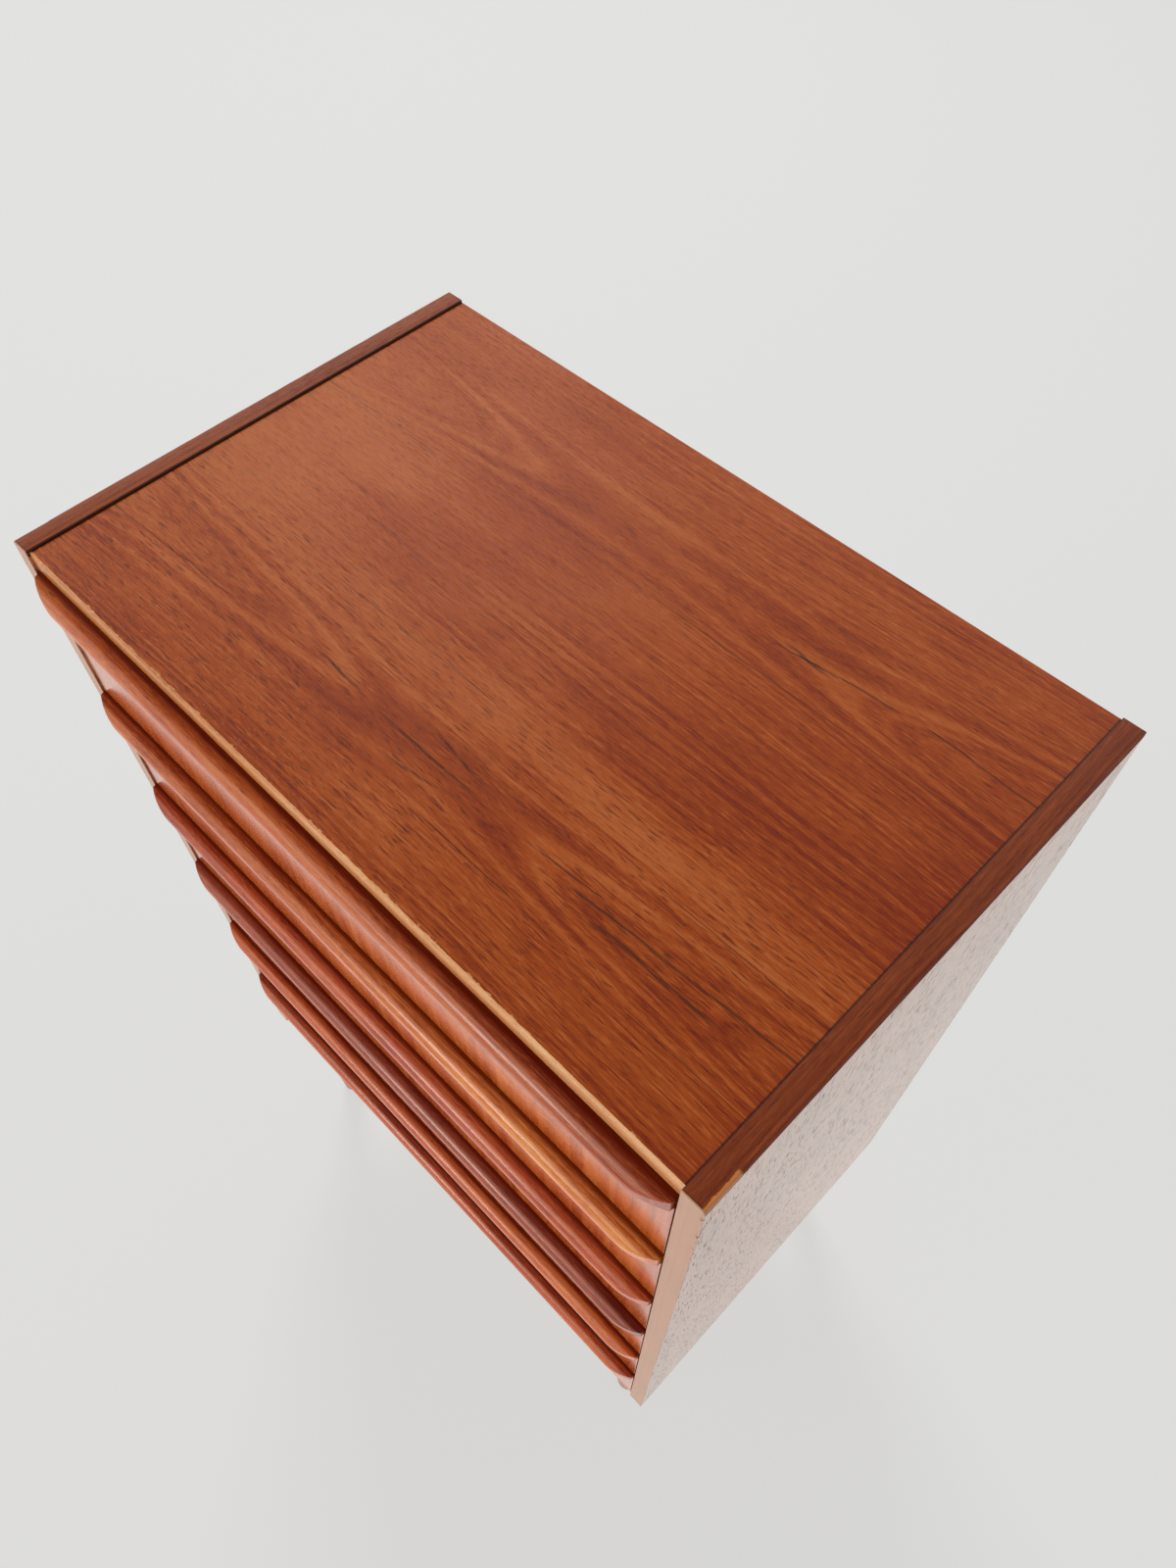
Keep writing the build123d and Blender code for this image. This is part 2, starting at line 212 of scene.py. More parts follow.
floor_reach = 9.0
floor_colour = (0.76, 0.76, 0.75)
glow_colour = (0.73, 0.73, 0.715)
glow_share = 0.85
floor_sides = ((-1, -1), (1, -1), (1, 1), (-1, 1))
floor_corners = [(x * floor_reach, y * floor_reach, 0.0) for x, y in floor_sides]
floor_mesh = bpy.data.meshes.new("floor")
floor_mesh.from_pydata(floor_corners, [], [(0, 1, 2, 3)])
floor = bpy.data.objects.new("floor", floor_mesh)
bpy.context.scene.collection.objects.link(floor)
floor_paint = bpy.data.materials.new("floor_paint")
floor_paint.use_nodes = True
floor_nodes = Nodes(floor_paint.node_tree)
floor_shader = floor_paint.node_tree.nodes["Principled BSDF"]
floor_nodes.join(floor_shader.inputs["Base Color"], floor_colour)
floor_nodes.join(floor_shader.inputs["Roughness"], 0.8)
floor_glow = floor_nodes.node("ShaderNodeEmission", {}, {"Color": glow_colour, "Strength": 1.0})
looks = ("Is Camera Ray", "Is Glossy Ray", "Is Transmission Ray")
seen = sum(floor_nodes.node("ShaderNodeLightPath", {}, {}, look) for look in looks)
floor_shades = {0: seen * glow_share, 1: Wire(floor_nodes, floor_shader.outputs[0]), 2: floor_glow}
floor_shade = floor_nodes.node("ShaderNodeMixShader", {}, floor_shades)
floor_nodes.join(floor_paint.node_tree.nodes["Material Output"].inputs["Surface"], floor_shade)
floor_mesh.materials.append(floor_paint)

# Side panels: two boards faced on both sides with teak veneer, its grain upright. The top and
# bottom are dowelled between them, and the runners are screwed to their inner faces.


class Finish(Nodes):
    """One finish of the chest: its material, read in millimetres along the chest's own axes"""

    def __init__(self, name):
        self.material = bpy.data.materials.new(name)
        self.material.use_nodes = True
        super().__init__(self.material.node_tree)
        self.shader = self.tree.nodes["Principled BSDF"]
        place = self.node("ShaderNodeTexCoord", {}, {}, "Object")
        self.x, self.y, self.z = (part * 1000 for part in self.parts(place))

    def noise(self, x, y, z, detail=1.0, roughness=0.5):
        sockets = {"Vector": self.vector(x, y, z), "Detail": detail, "Roughness": roughness}
        return self.node("ShaderNodeTexNoise", {}, {"Scale": 1.0, **sockets}, "Fac")

    def grain(self, axes, length, width, shift=0.0, detail=1.0, roughness=0.5):
        """Noise drawn out along the first of the axes, in flecks of this length and width"""
        run, across, deep = (getattr(self, axis) for axis in axes)
        return self.noise(run / length, across / width, deep / width + shift, detail, roughness)

    def step(self, value, low, high):
        sockets = {"Value": value, "From Min": low, "From Max": high}
        return self.node("ShaderNodeMapRange", {"interpolation_type": "SMOOTHSTEP"}, sockets)

    def lay(self, colour, roughness, height, relief, oil=0.0, sheen=(1.0, 1.0, 1.0)):
        self.join(self.shader.inputs["Specular Tint"], sheen)
        self.shader.inputs["Coat Weight"].default_value = oil
        self.shader.inputs["Coat Roughness"].default_value = 0.15
        facing = {"Strength": 1.0, "Distance": relief / 1000, "Height": height}
        bump = self.node("ShaderNodeBump", {}, facing, "Normal")
        self.join(self.shader.inputs["Base Color"], colour)
        self.join(self.shader.inputs["Roughness"], roughness)
        self.join(self.shader.inputs["Normal"], bump)

    def lay_as_grown(self, relief, oil=0.0, sheen=(1.0, 1.0, 1.0)):
        """The wood's own colour, polish and relief, with nothing laid over them"""
        self.lay(self.colour, self.rough, self.height, relief, oil, sheen)

    def pits_and_shade(self, share, colour):
        """Dull dark patches that throw back no light: open pores, knocks, and painted shade"""
        hollow = {"Base Color": colour, "Roughness": 0.95, "Specular IOR Level": 0.0}
        hollow = self.node("ShaderNodeBsdfPrincipled", {}, hollow)
        whole = {0: share, 1: Wire(self, self.shader.outputs[0]), 2: hollow}
        whole = self.node("ShaderNodeMixShader", {}, whole)
        self.join(self.tree.nodes["Material Output"].inputs["Surface"], whole)


def growth_rings(finish, axes, ring, gap, seed):
    """The bands of the wood's years, at this gap along ring, bent by slow and quick wanderings"""
    slow = finish.grain(axes, 200, 50, seed)
    quick = finish.grain(axes, 60, 9, seed)
    years = (ring + (slow - 0.5) * 12 + (quick - 0.5) * 1.6) / gap + seed
    sockets = {"W": years, "Scale": 1.0, "Detail": 3.0, "Roughness": 0.65}
    return finish.node("ShaderNodeTexNoise", {"noise_dimensions": "1D"}, sockets, "Fac")


def wood(
    name, axes, tones, ring=None, gap=6.0, seed=0.0, pores=0.5, gloss=0.28, lift=None, fine=1.0
):
    """Wood with its grain along the first of the axes, from its darkest tone to its palest"""
    finish = Finish(name)
    ring = ring(finish) if ring else getattr(finish, axes[1])
    bands = growth_rings(finish, axes, ring, gap, seed)
    cloud = finish.grain(axes, 110, 35, -seed, 2.0)
    strands = finish.grain(axes, 45, 1.5, seed, 3.0, 0.65)
    fibres = finish.grain(axes, 7, 0.9, seed, 2.0, 0.6)
    vessels = finish.grain(axes, 9, 0.8, seed)
    hairlines = finish.grain(axes, 40, 0.9, -seed)
    thick = 0.69 - pores * 0.1
    dark_pores = finish.step(vessels, thick, thick + 0.06) * finish.step(bands, 0.75, 0.4)
    pale_flecks = finish.step(vessels, 0.41, 0.33)
    hairlines = finish.step(hairlines, thick + 0.01, thick + 0.07)
    tone = 0.5 + (bands - 0.5) * 0.95 + (cloud - 0.5) * 0.7
    tone = tone + ((strands - 0.5) * 0.75 + (fibres - 0.5) * 0.5) * fine
    tone = tone + (pale_flecks * 0.45 - hairlines * 0.8) * pores
    tone = tone + lift(finish) if lift else tone
    stops = [(0.1, tones[0]), (0.5, tones[1]), (0.9, tones[2])]
    colour = finish.node("ShaderNodeValToRGB", {"stops": stops}, {"Fac": tone})
    pore_colour = tuple(part * 0.5 for part in tones[0])
    finish.pores = dark_pores
    finish.colour = finish.mix(dark_pores * min(0.7, pores * 2.0), colour, pore_colour)
    finish.rough = gloss + (fibres - 0.5) * 0.1
    finish.height = fibres * 0.5 + strands * 0.5 - dark_pores
    return finish


def eased(node, softness):
    """The shape of a CAD board with its sharp arrises taken off by so many millimetres"""
    work = bmesh.new()
    work.from_mesh(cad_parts[node].data)
    bmesh.ops.remove_doubles(work, verts=work.verts, dist=1e-6)
    flat = math.radians(1.0)
    bmesh.ops.dissolve_limit(work, angle_limit=flat, verts=work.verts, edges=work.edges)
    sharp = math.radians(30.0)
    arrises = [edge for edge in work.edges if edge.calc_face_angle(0.0) > sharp]
    rounding = {"offset": softness / 1000, "segments": 2, "profile": 0.5}
    bmesh.ops.bevel(work, geom=arrises, affect="EDGES", clamp_overlap=False, **rounding)
    mesh = bpy.data.meshes.new(node)
    work.to_mesh(mesh)
    work.free()
    mesh.polygons.foreach_set("use_smooth", [False] * len(mesh.polygons))
    return mesh


def fitted(name, mesh, finish, body, node):
    """Put a finished mesh on the chest, in the place of a CAD node"""
    made = bpy.data.objects.new(name, mesh)
    bpy.context.scene.collection.objects.link(made)
    mesh.materials.clear()
    mesh.materials.append(finish.material)
    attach(made, body)
    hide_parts(node)


def side_wear(finish):
    """Dull open pores in patches, and knocks along the front edge near the top"""
    knocks = finish.noise(finish.y / 3.5, finish.z / 8.0, finish.x / 3.5, 3.0, 0.6)
    knocks = finish.step(knocks, 0.54, 0.6) * finish.step(finish.y, -176.0, -181.0)
    knocks = knocks * finish.step(finish.z, 880.0, 960.0)
    dull_pores = finish.step(finish.grain("zyx", 14, 1.3), 0.6, 0.69)
    patches = finish.step(finish.grain("zyx", 90, 30, 0.0, 2.0), 0.3, 0.52)
    return dull_pores * patches * 0.7 + finish.pores * 0.12 + knocks * 0.9


side_tones = ((0.17, 0.045, 0.013), (0.36, 0.125, 0.04), (0.47, 0.2, 0.08))
side_finish = wood("teak_side_veneer", "zyx", side_tones, gap=9.0, seed=3.0, pores=0.7, gloss=0.14)
side_finish.lay_as_grown(0.03, 0.2)
side_finish.pits_and_shade(side_wear(side_finish), (0.15, 0.075, 0.035))
for hand in ("left", "right"):
    side = eased(f"{hand}_side_panel", 0.3)
    fitted(f"{hand}_side_board", side, side_finish, "carcass", f"{hand}_side_panel")

# Front edgings: thin pale strips of teak glued over the side panels' front edges and over the
# front ends of the dark strips, worn dull at the corner that hands and knees brush.


def corner_grime(finish):
    """Dark rubbed spots along the outer corner, in its upper part"""
    grime = finish.noise(finish.x / 2.5, finish.z / 5.0, finish.y / 2.5, 3.0, 0.6)
    grime = finish.step(grime, 0.56, 0.64) * finish.step(abs(finish.x), 297.5, 299.7)
    return grime * finish.step(finish.z, 860.0, 980.0)


edging_tones = ((0.385, 0.195, 0.115), (0.425, 0.223, 0.135), (0.465, 0.25, 0.155))
edging_finish = wood("pale_teak_edging", "zxy", edging_tones, gap=5.0, seed=8.0, pores=0.0)
edging_finish.lay(edging_finish.colour, 0.36, edging_finish.height, 0.003)
edging_finish.pits_and_shade(corner_grime(edging_finish) * 0.9, (0.09, 0.045, 0.03))
for hand in ("left", "right"):
    edging = eased(f"{hand}_side_front_edging", 0.2)
    edging_name = f"{hand}_front_edging_strip"
    edging_node = f"{hand}_side_front_edging"
    fitted(edging_name, edging, edging_finish, "carcass", edging_node)

# Top strips: solid dark teak, 5 mm thick, glued along the side panels' upper edges and
# standing 2 mm above the top. The right one's outer arris is worn back and chipped in front.
strip_low, strip_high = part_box("right_side_top_lipping")
strip_inner, strip_outer = strip_low.x * 1000, strip_high.x * 1000
strip_front, strip_back = strip_low.y * 1000, strip_high.y * 1000
strip_bottom, strip_top = strip_low.z * 1000, strip_high.z * 1000
worn_end = strip_front + 25.0
plain_start = worn_end + 5.0
inner_round = 0.6
outer_round = 0.8
strip_tones = ((0.1, 0.014, 0.002), (0.17, 0.03, 0.005), (0.25, 0.055, 0.012))


def shade(mesh):
    """Shade a mesh smooth, but for the edges where it turns sharply"""
    mesh.polygons.foreach_set("use_smooth", [True] * len(mesh.polygons))
    mesh.set_sharp_from_angle(angle=math.radians(35.0))


def lofted(name, rings):
    """A solid through rings of as many points each, closed at its two ends"""
    count = len(rings[0])
    points = [point for ring in rings for point in ring]
    last = len(points) - count
    faces = [tuple(range(count)), tuple(last + corner for corner in reversed(range(count)))]
    for row in range(len(rings) - 1):
        low, high = row * count, (row + 1) * count
        for corner in range(count):
            after = (corner + 1) % count
            faces.append((low + corner, high + corner, high + after, low + after))
    mesh = bpy.data.meshes.new(name)
    mesh.from_pydata([tuple(part / 1000 for part in point) for point in points], [], faces)
    work = bmesh.new()
    work.from_mesh(mesh)
    bmesh.ops.recalc_face_normals(work, faces=work.faces)
    work.to_mesh(mesh)
    work.free()
    shade(mesh)
    return mesh


def strip_mesh(hand, name, worn):
    """A strip whose outer arris is rounded by hand, and by so many millimetres where worn"""
    random.seed(11)
    rings = []
    stations = [strip_front + step * 4.0 for step in range(7)]
    stations += [worn_end, worn_end + 0.4]
    stations += [plain_start + step * (strip_back - plain_start) / 60 for step in range(61)]
    for y in stations:
        radius = outer_round + random.uniform(-0.12, 0.12)
        if y <= worn_end:
            radius = worn * (1.0 + random.uniform(-0.08, 0.08))
        ring = [(strip_inner, y, strip_bottom)]
        for turn in range(5):
            angle = math.radians(22.5 * turn)
            inwards = strip_inner + inner_round - inner_round * math.cos(angle)
            ring.append((inwards, y, strip_top - inner_round + inner_round * math.sin(angle)))
        for turn in range(7):
            angle = math.radians(15.0 * turn)
            outwards = strip_outer - radius + radius * math.sin(angle)
            ring.append((outwards, y, strip_top - radius + radius * math.cos(angle)))
        ring.append((strip_outer, y, strip_bottom))
        rings.append([(hand * x, y, z) for x, y, z in ring])
    return lofted(name, rings)


def strip_lift(finish):
    """The left strip is painted paler than the right, as painted sheen"""
    return finish.step(finish.x, 0.0, -10.0) * 0.25 - 0.05


def lay_strip(finish):
    """Glue along the inner edge, a dark front end, the chipped arris, and a dull outer side"""
    arris = strip_outer + strip_top
    ragged = finish.noise(finish.y / 2.5, finish.z / 2.0, 0.0, 3.0, 0.6) * 3.0
    chipped = finish.step(finish.x + finish.z + ragged, arris - 1.4, arris - 0.6)
    chipped = chipped * finish.step(finish.y, worn_end + 1.0, worn_end - 1.0)
    glue = finish.step(abs(finish.x), strip_inner + 0.8, strip_inner + 0.35)
    front_end = finish.step(finish.y, strip_front + 0.9, strip_front + 0.3)
    outer_side = finish.step(abs(finish.x), strip_outer - 0.35, strip_outer - 0.08)
    colour = finish.mix(glue * 0.85, finish.colour, (0.018, 0.003, 0.001))
    colour = finish.mix(front_end * 0.6, colour, (0.03, 0.006, 0.002))
    colour = finish.mix(chipped, colour, (0.5, 0.17, 0.04))
    finish.lay(colour, finish.rough, finish.height, 0.015)
    finish.pits_and_shade(outer_side * (1.0 - chipped) * 0.85, (0.11, 0.014, 0.005))


strip_look = {"gap": 4.0, "seed": 5.0, "pores": 0.35, "lift": strip_lift}
strip_finish = wood("dark_teak_strip", "yxz", strip_tones, **strip_look)
lay_strip(strip_finish)
for hand, side_of, worn in (("left", -1, 1.4), ("right", 1, 2.0)):
    strip = strip_mesh(side_of, f"{hand}_top_strip", worn)
    strip_node = f"{hand}_side_top_lipping"
    fitted(f"{hand}_top_strip", strip, strip_finish, "carcass", strip_node)

# Top panel: a board faced with two book-matched leaves of flat-sawn teak, the grain running
# the width of the chest, with dark mineral streaks and short open pores. It is dowelled
# between the side panels.
top_tones = ((0.18, 0.019, 0.001), (0.3, 0.053, 0.004), (0.39, 0.1, 0.021))
leaf_seam = 2.0
leaf_middle = 15.0
heart_offset = 105.0
heart_depth = 42.0
streak_ends = (
    ((-95, -100), (-40, -102), 1.5, 4.0),
    ((-25, -105), (65, -104), 1.5, 6.0),
    ((5, -89), (65, -97), 1.3, 4.0),
    ((0, -122), (50, -114), 1.2, 4.0),
    ((130, -107), (320, -97), 1.3, 4.0),
    ((155, -113), (250, -113), 1.8, 5.0),
    ((95, -104), (165, -100), 0.8, 4.0),
    ((105, 103), (150, 101), 1.7, 4.0),
    ((95, 98), (200, 109), 0.9, 5.0),
    ((200, 111), (300, 107), 1.0, 4.0),
)
line_ends = (
    ((-20, 73), (400, 77), 0.45, 2.0),
    ((170, -75), (400, -73), 0.45, 2.0),
    ((200, -138), (400, -136), 0.45, 2.0),
    ((195, 137), (400, 134), 0.35, 2.0),
    ((40, -134), (130, -134), 0.6, 3.0),
    ((-300, 64), (-160, 66), 0.5, 3.0),
    ((-120, -53), (30, -52), 0.4, 3.0),
    ((-300, -118), (-150, -110), 0.5, 4.0),
)


def leaf_rings(finish):
    """How far each leaf's surface lies from the heart of the log that it was cut from"""
    from_heart = abs(finish.y - leaf_seam) - heart_offset
    depth = heart_depth - (finish.x - leaf_middle) ** 2.0 * 0.00016
    return (from_heart**2.0 + depth**2.0) ** 0.5


def leaf_tones_and_light(finish):
    """Redder and darker right of the middle, golden in the front leaf, and painted light: paler
    left, darker right
    """
    x, y = finish.x, finish.y
    heart_side = finish.step(x, 0.0, 200.0) * finish.step(abs(y - 15.0), 90.0, 10.0)
    golden = finish.step(x, -120.0, 120.0) * finish.step(abs(y + 58.0), 30.0, 4.0)
    front_edge = finish.step(y, -160.0, -178.0)
    front_left = finish.step(x, 40.0, -60.0) * finish.step(y, -108.0, -130.0)
    painted_light_left = finish.step(x, -90.0, -210.0) * finish.step(abs(y - 10.0), 120.0, 60.0)
    # Painted light: the top is lightened on its left and darkened towards its right.
    dark = heart_side * 0.12 + front_edge * 0.08 + front_left * 0.1 + x * 0.0004
    return golden * 0.3 + painted_light_left * 0.2 - dark


def mark(finish, start, end, half_width, waver):
    """A dark line in the veneer between two points, wavering and thinning out at its ends"""
    x = finish.x
    run_out = 16.0
    rise = (end[1] - start[1]) / (end[0] - start[0])
    bend = finish.noise(x / 28, start[0] / 10.0, start[1] / 10.0, 2.0) - 0.5
    off = abs(finish.y - start[1] - (x - start[0]) * rise - bend * waver)
    ends = finish.step(x, start[0], start[0] + run_out) * finish.step(x, end[0], end[0] - run_out)
    return finish.step(off, half_width, half_width * 0.3) * ends


def bright_pores(finish):
    """Open pores that catch the light, along the front edge's left half"""
    flecks = finish.step(finish.noise(finish.x / 3.0, finish.y / 0.8, 5.0), 0.66, 0.74)
    flecks = flecks * finish.step(finish.y, -100.0, -135.0)
    return flecks * finish.step(finish.x, 60.0, -60.0)


def pore_strokes(finish):
    """Short dark pores in patches, stronger in front, with none at the right front corner"""
    x, y = finish.x, finish.y
    strokes = finish.step(finish.noise(x / 14.0, y / 1.2, 9.0), 0.6, 0.66)
    strokes = strokes * (finish.step(y, 20.0, -60.0) * 0.6 + 0.2)
    strokes = strokes * finish.step(finish.noise(x / 70.0, y / 12.0, 4.0, 2.0), 0.3, 0.52)
    return strokes * finish.step(x - y, 440.0, 330.0)


def lay_top(finish):
    """The veneer's marks, the glue beside the dark strips, and its chipped front edge"""
    x, y = finish.x, finish.y
    streaks = sum(mark(finish, *ends) for ends in streak_ends)
    streaks = streaks * finish.step(finish.noise(x / 14, y / 0.9, 0.0, 2.0), 0.3, 0.48)
    lines = sum(mark(finish, *ends) for ends in line_ends)
    strokes = pore_strokes(finish)
    glue = finish.step(abs(x), 283.6, 284.4)
    chips = finish.noise(x / 5.0, y / 2.0, 0.0, 3.0, 0.6) + (y + 178.4) * -0.12
    colour = finish.mix(bright_pores(finish) * 0.75, finish.colour, (0.47, 0.17, 0.085))
    colour = finish.mix(strokes, colour, (0.11, 0.014, 0.002))
    colour = finish.mix(streaks * 0.75, colour, (0.045, 0.008, 0.002))
    colour = finish.mix(lines * 0.75, colour, (0.06, 0.009, 0.001))
    colour = finish.mix(glue * 0.8, colour, (0.02, 0.004, 0.002))
    colour = finish.mix(finish.step(chips, 0.6, 0.66) * 0.8, colour, (0.6, 0.3, 0.13))
    finish.lay(colour, finish.rough, finish.height - glue - strokes - streaks, 0.025)


top_look = {"gap": 3.2, "seed": 1.0, "pores": 0.6, "lift": leaf_tones_and_light, "fine": 0.75}
top_finish = wood("teak_top_veneer", "xyz", top_tones, leaf_rings, **top_look)
lay_top(top_finish)
top_board = eased("top_panel", 0.2)
fitted("top_board", top_board, top_finish, "carcass", "top_panel")

# Front bands: thin golden strips of teak that close the front edges of the top and bottom
# panels, glued on. The upper one is nicked along its top arris, where the veneer meets it.
band_tones = ((0.36, 0.11, 0.025), (0.58, 0.22, 0.065), (0.74, 0.4, 0.18))
band_stations = 190
foot_ease = 0.4


def band_lift(finish):
    """The band is paler towards its right end"""
    return finish.x * 0.0008 + 0.02


def lay_band(finish):
    """Pale bruises along the top arris, and a foot darkened as painted shade above the pull"""
    bruises = finish.step(finish.noise(finish.x / 3.0, finish.y, finish.z, 2.0, 0.6), 0.56, 0.66)
    bruises = bruises * finish.step(finish.z, 999.6, 1000.6)
    # Painted shade: the band's lower part, just above the first pull, is darkened.
    foot = finish.step(finish.z, 1001.0, 991.0)
    colour = finish.mix(foot * 0.6, finish.colour, (0.42, 0.12, 0.015))
    colour = finish.mix(bruises * 0.6, colour, (0.7, 0.46, 0.3))
    finish.lay(colour, finish.rough, finish.height, 0.015)


def band_mesh(node, wear):
    """A band as long as the CAD one, its top arris worn and here and there nicked"""
    low, high = (corner * 1000 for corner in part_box(node))
    random.seed(23)
    rings = []
    for step in range(band_stations + 1):
        x = low.x + step * (high.x - low.x) / band_stations
        now_and_then = max(0.0, random.random() - 0.8) / 0.2
        nick = wear * (0.5 + 2.2 * now_and_then * random.random())
        ring = [(x, high.y, low.z), (x, low.y + foot_ease, low.z), (x, low.y, low.z + foot_ease)]
        ring += [(x, low.y, high.z - nick), (x, low.y + nick * 0.6, high.z), (x, high.y, high.z)]
        rings.append(ring)
    return lofted(node, rings)


band_look = {"gap": 5.0, "seed": 6.0, "pores": 0.25, "lift": band_lift}
band_finish = wood("golden_teak_band", "xzy", band_tones, **band_look)
lay_band(band_finish)
top_band = band_mesh("top_panel_lipping", 0.35)
fitted("top_front_band", top_band, band_finish, "carcass", "top_panel_lipping")
bottom_band = band_mesh("bottom_panel_lipping", 0.4)
bottom_node = "bottom_panel_lipping"
fitted("bottom_front_band", bottom_band, band_finish, "carcass", bottom_node)

# Bottom panel: a veneered board like the top, dowelled between the side panels, with the leg
# plates screwed to its underside.


def dress(node, finish):
    """Give its finish to a CAD node that keeps its own shape"""
    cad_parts[node].material_slots[0].material = finish.material


bottom_tones = ((0.12, 0.03, 0.009), (0.25, 0.08, 0.025), (0.34, 0.13, 0.05))
bottom_finish = wood("teak_bottom_veneer", "xyz", bottom_tones, gap=8.0, seed=14.0)
bottom_finish.lay_as_grown(0.02)
dress("bottom_panel", bottom_finish)

# Dowels: plain beech pegs, glued a short way into the side panels and deeper into the ends of
# the top and bottom panels.
beech_tones = ((0.3, 0.17, 0.08), (0.5, 0.31, 0.16), (0.62, 0.43, 0.25))
dowel_look = {"gap": 3.0, "seed": 2.0, "pores": 0.1, "gloss": 0.55}
dowel_finish = wood("beech_dowel", "xyz", beech_tones, **dowel_look)
dowel_finish.lay_as_grown(0.01)
dress("carcass_dowels", dowel_finish)

# Back panel: thin plywood let into the rebates of the carcass, stained brown, its outer
# veneer running across, and screwed all round.
back_tones = ((0.12, 0.05, 0.022), (0.26, 0.12, 0.055), (0.36, 0.19, 0.09))
back_look = {"gap": 12.0, "seed": 9.0, "pores": 0.25, "gloss": 0.6}
back_finish = wood("stained_plywood", "xzy", back_tones, **back_look)
back_finish.lay_as_grown(0.03)
dress("back_panel", back_finish)

# Back screws: sixteen slotted steel screws around the edge of the back panel, driven in from
# behind, their heads sunk flush with the plywood.


class Steel(Finish):
    """Bright steel, dulled in blotches and brushed by fine turning marks"""

    def __init__(self, name, pale, dull, gloss):
        super().__init__(name)
        blotch = self.noise(self.x / 6, self.y / 6, self.z / 6, 3.0)
        scratch = self.noise(self.x / 0.5, self.y / 3, self.z / 0.5, 2.0)
        colour = self.mix(self.step(blotch, 0.35, 0.7), pale, dull)
        self.shader.inputs["Metallic"].default_value = 1.0
        self.lay(colour, gloss + scratch * 0.2, scratch, 0.02)


def shape_tree(name, inputs):
    """A tree of geometry nodes with named inputs, its nodes, and a wire from each input"""
    tree = bpy.data.node_groups.new(name, "GeometryNodeTree")
    for input_name, kind in inputs.items():
        tree.interface.new_socket(input_name, in_out="INPUT", socket_type=f"NodeSocket{kind}")
    tree.interface.new_socket("Geometry", in_out="OUTPUT", socket_type="NodeSocketGeometry")
    nodes = Nodes(tree)
    start = nodes.node("NodeGroupInput", {}, {}).socket.node
    return tree, nodes, {each: Wire(nodes, start.outputs[each]) for each in inputs}


def give_out(nodes, shape, material):
    """End a tree with its shape made real and given its material"""
    shape = nodes.node("GeometryNodeRealizeInstances", {}, {"Geometry": shape})
    shape = nodes.node("GeometryNodeSetMaterial", {}, {"Geometry": shape, "Material": material})
    nodes.node("NodeGroupOutput", {}, {"Geometry": shape})


def solid_of(name, points, aims, tree, sizes):
    """The plain mesh that a tree of geometry nodes makes from points and the ways they face"""
    start = bpy.data.meshes.new(name)
    start.from_pydata([tuple(part / 1000 for part in point) for point in points], [], [])
    if aims:
        facing = start.attributes.new("aim", "FLOAT_VECTOR", "POINT")
        facing.data.foreach_set("vector", [part for way in aims for part in way])
    maker = bpy.data.objects.new(f"{name}_maker", start)
    bpy.context.scene.collection.objects.link(maker)
    modifier = maker.modifiers.new("shape", "NODES")
    modifier.node_group = tree
    for socket in tree.interface.items_tree:
        if socket.in_out == "INPUT" and socket.name in sizes:
            modifier[socket.identifier] = sizes[socket.name]
    shown = maker.evaluated_get(bpy.context.evaluated_depsgraph_get())
    result = bpy.data.meshes.new_from_object(shown)
    maker.modifiers.remove(modifier)
    bpy.data.objects.remove(maker)
    result.name = name
    shade(result)
    return result


screw_steel = Steel("screw_steel", (0.5, 0.48, 0.44), (0.3, 0.27, 0.22), 0.3)
screw_sizes = {
    "Head Radius": 0.0035,
    "Shank Radius": 0.00175,
    "Length": 0.02,
    "Slot Width": 0.0009,
}
screw_inputs = {"Geometry": "Geometry", **dict.fromkeys(screw_sizes, "Float"), "Seed": "Int"}
screw_tree, screw, screw_given = shape_tree("slotted_screw", screw_inputs)
head_radius, shank_radius = screw_given["Head Radius"], screw_given["Shank Radius"]
screw_length = screw_given["Length"]
tip_radius = 0.0002


def lowered(solid, drop):
    """A part of the screw, moved down from the level of its head"""
    moved_down = {"Geometry": solid, "Translation": screw.vector(z=drop * -1.0)}
    return screw.node("GeometryNodeTransform", {}, moved_down)


head_depth = head_radius - shank_radius
head_sizes = {"Vertices": 28, "Radius Top": head_radius, "Radius Bottom": shank_radius}
head_sizes["Depth"] = head_depth
head = lowered(screw.node("GeometryNodeMeshCone", {}, head_sizes), head_depth)
slot_size = screw.vector(head_radius * 3.0, screw_given["Slot Width"], head_depth * 1.2)
slot_cutter = screw.node("GeometryNodeMeshCube", {}, {"Size": slot_size})
cut_slot = {"operation": "DIFFERENCE"}
head = screw.node("GeometryNodeMeshBoolean", cut_slot, {0: head, 1: slot_cutter})
shank_sizes = {"Vertices": 20, "Radius Top": shank_radius, "Radius Bottom": tip_radius}
shank_sizes["Depth"] = screw_length - head_depth
shank = lowered(screw.node("GeometryNodeMeshCone", {}, shank_sizes), screw_length)
whole_screw = screw.node("GeometryNodeJoinGeometry", {}, {"Geometry": [shank, head]})
aim_kind = {"data_type": "FLOAT_VECTOR"}
screw_aim = screw.node("GeometryNodeInputNamedAttribute", aim_kind, {"Name": "aim"})
aimed = screw.node("FunctionNodeAlignRotationToVector", {"axis": "Z"}, {"Vector": screw_aim})
turn_limits = {2: 0.0, 3: math.pi, "Seed": screw_given["Seed"]}
spin = screw.node("FunctionNodeRandomValue", {"data_type": "FLOAT"}, turn_limits, 1)
spin = screw.node("FunctionNodeEulerToRotation", {}, {"Euler": screw.vector(z=spin)})
about_itself = {"rotation_space": "LOCAL"}
aimed = screw.node("FunctionNodeRotateRotation", about_itself, {0: aimed, 1: spin})
